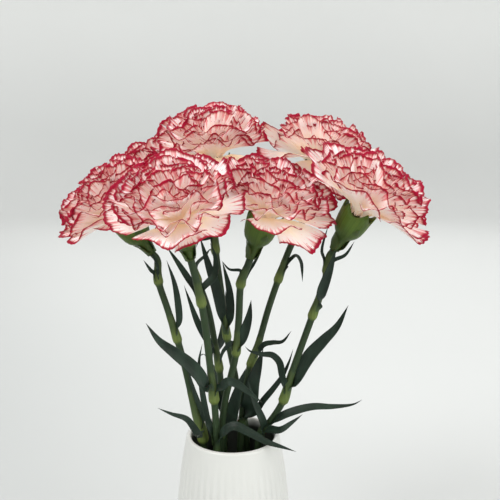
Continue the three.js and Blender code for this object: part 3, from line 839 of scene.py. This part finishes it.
def whorl(rng, nod, count, length, lean, half_angle, start, ruffle, quick, unruly, shift, droop=()):
    """
    A ring of fans. A point of a fan is at v along it and u across it, at an angle u times the fan's
    half-angle off its middle line. The middle line bends from upright to the whorl's lean, a smooth
    function of v. The nod adds its cosine round the ring to the lean. Each droop turns the nearest fan
    to its own way, leans it further and makes it longer and wider. Waves of u that grow with v push the
    sheet off its plane, and the edge is pinked by pulling every other column back.
    """
    v = PETAL_ROWS[:, None]
    u = np.linspace(-1, 1, PETAL_COLUMNS)

    def draw(low, high):
        return rng.uniform(low, high, (count, 1, 1))

    turn = (np.arange(count)[:, None, None] + draw(-0.25, 0.25)) * 2 * math.pi / count + rng.uniform(0, 6)
    reach = length * MM * draw(0.93, 1.05)
    tip = np.radians(lean + draw(-unruly, unruly) + nod[1] * np.cos(turn - math.radians(nod[0])))
    fan = np.radians(half_angle * draw(0.88, 1.1))
    for toward, extra, longer, wider in droop:
        gap = np.abs((turn - math.radians(toward) + math.pi) % (2 * math.pi) - math.pi)
        chosen = gap == gap.min()
        tip = tip + chosen * math.radians(extra)
        reach = reach * (1 + chosen * longer)
        fan = fan * (1 + chosen * wider)
        turn = np.where(chosen, math.radians(toward), turn)
    angle = u * fan * (0.3 + 0.7 * ease(v / 0.55))
    corner = 1 - 0.15 * np.abs(u) ** 3 * v**2
    pinked = rng.uniform(0.2, 1, (count, 1, PETAL_COLUMNS)) * (np.arange(PETAL_COLUMNS) % 2)
    teeth = PINK_DEPTH * pinked * np.clip((v - PINK_START) / (1 - PINK_START), 0, 1)
    lobes = LOBE_DEPTH * np.cos(u * draw(5, 9) + draw(0, 6)) * v**4
    stretch = v * (corner - teeth + lobes)
    along = reach * stretch * np.cos(angle)
    aside = reach * stretch * np.sin(angle) + draw(-0.12, 0.12) * along
    steps = np.linspace(0, LINE_REACH, LINE_STEPS)
    upright = math.radians(6) + 0.1 * tip
    bend = upright + (tip - upright) * ease(steps / (0.8 - 0.006 * lean)) ** 0.8
    place = np.clip(along / reach / steps[1], 0, len(steps) - 2)
    low = place.astype(int)
    fan_number = np.arange(count)[:, None, None]

    def on_line(line):
        line = line[:, 0]
        return line[fan_number, low] * (1 - place + low) + line[fan_number, low + 1] * (place - low)

    out = start * MM + reach * on_line(np.cumsum(np.sin(bend), axis=-1) * steps[1])
    up = reach * on_line(np.cumsum(np.cos(bend), axis=-1) * steps[1]) - PETAL_SINK
    lean_here = on_line(bend)
    wave = np.sin(u * quick * draw(0.8, 1.2) + draw(0, 6))
    wave = wave + 0.35 * np.sin(u * quick * draw(1.7, 2.3) + draw(0, 6))
    cup = draw(-1.5, 3) * MM * u**2 * v
    skew = draw(-0.3, 0.3) * unruly * MM * u * v
    push = ruffle * MM * v**2.2 * wave + cup + skew
    out = out - push * np.cos(lean_here)
    up = up + push * np.sin(lean_here)
    x = out * np.cos(turn) - aside * np.sin(turn)
    y = out * np.sin(turn) + aside * np.cos(turn)
    middle = np.stack([x, y, up], -1)
    normal = unit(np.cross(np.gradient(middle, axis=1), np.gradient(middle, axis=2)) + 1e-12)
    half = (PETAL_THICKNESS / 2 * (1.4 - v))[..., None]
    points = np.concatenate([middle + normal * half, (middle - normal * half)[:, :, ::-1]], axis=2)
    across = np.concatenate([u, u[::-1]]) * 0.5 + 0.5 + 2 * fan_number + rng.uniform(0, 50)
    uv = np.stack(np.broadcast_arrays(across, v - (shift + draw(-0.012, 0.012)) * v), -1)
    under = np.concatenate([np.zeros(PETAL_COLUMNS), np.ones(PETAL_COLUMNS)])
    under = under if np.mean(normal[..., 2]) > 0 else 1 - under
    return points, uv, np.broadcast_to(under, points.shape[:3])


PETAL_PEACH = (0.96, 0.81, 0.50, 1)
PETAL_CREAM = (0.96, 0.94, 0.91, 1)
PETAL_FLUSH = (0.98, 0.55, 0.50, 1)
PETAL_VEIN = (0.98, 0.92, 0.86, 1)
PETAL_UNDER = (0.88, 0.72, 0.66, 1)
CRIMSON_DEEP = (0.13, 0.001, 0.009, 1)
CRIMSON_BRIGHT = (0.36, 0.003, 0.028, 1)
FEATHER_ROSE = (0.62, 0.035, 0.085, 1)
# Colour of the painted light that the petals glow with.
PETAL_PAINTED_GLOW = (0.98, 0.68, 0.61, 1)

# The emission strength set here is painted light: a faint warm glow in place of light shining through the
# thin petals.
petal_skin = Paint(
    "petal_skin",
    Specular_IOR_Level=0.15,
    Subsurface_Weight=0.3,
    Subsurface_Radius=(1.0, 0.62, 0.42),
    Subsurface_Scale=2 * MM,
    Emission_Strength=0.12,
)
petal_place = petal_skin.sheet_place()
petal_v = petal_skin.part(petal_place, "Y")
streak = petal_skin.noise(petal_place, (34, 1.5, 1), 3)
patch = petal_skin.noise(petal_place, (5, 3, 1), 2)
fleck = petal_skin.noise(petal_place, (60, 14, 1), 1)
vein = petal_skin.noise(petal_place, (70, 1.0, 1), 1)
edge = petal_skin.step(petal_v + (streak - 0.5) * 0.10 + (patch - 0.5) * 0.08, 0.93, 0.98)
feather = petal_skin.step(petal_v + (streak - 0.5) * 0.95, 0.81, 1.04)
flecks = petal_skin.step(fleck, 0.68, 0.72) * petal_skin.step(petal_v + (patch - 0.5) * 0.8, 0.55, 0.95)
flush = petal_skin.step(petal_v + (patch - 0.5) * 0.5, 0.45, 1.05)
off_heart = petal_skin.step(petal_v + (patch - 0.5) * 0.3, 0.2, 0.85)
cream = petal_skin.mix(off_heart, PETAL_PEACH, PETAL_CREAM)
cream = petal_skin.mix(flush * 0.2, cream, PETAL_FLUSH)
cream = petal_skin.mix(vein * 0.2, cream, PETAL_VEIN)
cream = petal_skin.mix(petal_skin.tint() * 0.4, cream, PETAL_UNDER)
feathered = petal_skin.mix(feather * 0.85, cream, FEATHER_ROSE)
crimson = petal_skin.mix(streak, CRIMSON_DEEP, CRIMSON_BRIGHT)
redness = edge.at_least(flecks)
petal_skin.feed("Base Color", petal_skin.mix(redness, feathered, crimson))
# Painted light: the petals glow warm, and crimson along the edge, in place of light passing through them.
petal_skin.feed("Emission Color", petal_skin.mix(redness, PETAL_PAINTED_GLOW, crimson))
petal_skin.feed("Roughness", streak * 0.2 + 0.45)
petal_skin.bump(vein, 0.3, 0.3 * MM)

# The heads differ by their seeds, by a nod, which is a way round the head and the degrees of lean that
# it adds there, and by guards placed one by one: the way a guard points, the degrees by which it leans
# further down (or up, where negative), and the shares by which it is longer and wider.
PETAL_SEEDS = (101, 42, 103, 104, 105, 106, 107)
NODS = {2: (-130, -7), 3: (-90, 13), 5: (-90, 20)}
DROOPS = {
    1: [(195, 5, 0, 0), (240, 5, 0.02, 0)],
    2: [(-95, -8, 0, 0), (-50, -4, 0, 0), (-145, -12, 0, 0)],
    3: [(-28, 22, 0.12, 0.1), (-62, 16, 0.06, 0), (-150, 6, 0.04, 0)],
    4: [(-40, 20, 0.0, 0.0), (0, 6, 0.1, 0), (38, -6, 0.16, 0.1), (80, -16, 0.14, 0.1)],
    5: [(-90, 46, 0.12, 0.1), (-45, 38, 0.1, 0), (-135, 24, 0.24, 0), (178, 8, 0.3, 0.1)],
    6: [
        (-12, 12, 0.1, 0), (-42, 8, 0.08, 0), (-150, 2, 0.12, 0), (178, -4, 0.24, 0.1),
        (140, -14, 0.2, 0.1),
    ],
}

for number, (carnation, seed) in enumerate(zip(CARNATIONS, PETAL_SEEDS), 1):
    rng = np.random.default_rng(seed)
    nod = NODS.get(number, (0, 0))
    outer = [whorl(rng, nod, *GUARD_WHORL, DROOPS.get(number, ())), whorl(rng, nod, *COLLAR_WHORL)]
    inner = [whorl(rng, nod, *size) for size in INNER_WHORLS]
    for depth, whorls in (("outer", outer), ("inner", inner)):
        petals = grid_object(f"{depth}_whorl_{number}", [in_place(grid, carnation) for grid in whorls])
        finish_piece(petals, petal_skin, f"{depth}_petals_{number}")
